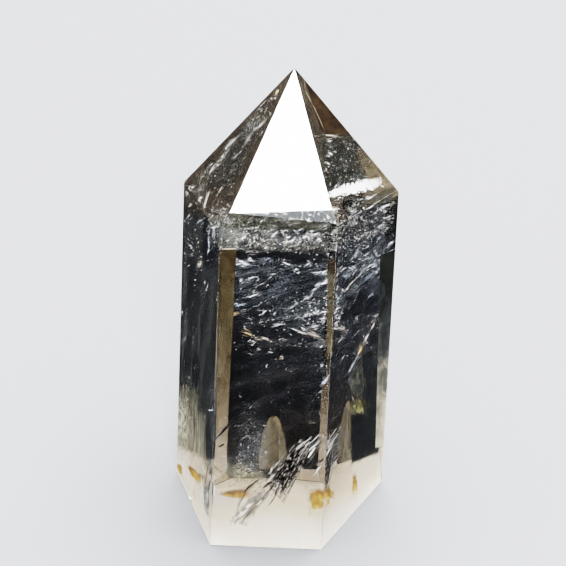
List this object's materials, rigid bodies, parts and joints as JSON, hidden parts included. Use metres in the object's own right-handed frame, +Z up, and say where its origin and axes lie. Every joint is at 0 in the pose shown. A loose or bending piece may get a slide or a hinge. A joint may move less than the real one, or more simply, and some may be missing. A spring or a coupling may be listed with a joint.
{
  "type": "smoky quartz crystal",
  "caption": "Upright hexagonal quartz prism, lightly smoky and see-through, with a faceted point and a flat frosted base; a free-standing display specimen.",
  "frame": {"origin": "middle of the crystal's box, on the flat face it stands on", "axes": "+Z up the crystal towards its point, -Y out of the front face, +X to the right seen from the front"},
  "size_m": [0.0294, 0.0276, 0.0753],
  "materials": {
    "quartz": "polished, clear with a light brown smoke, over a frosted base"
  },
  "bodies": {
    "root": {"crystal": "quartz"}
  },
  "joints": []
}
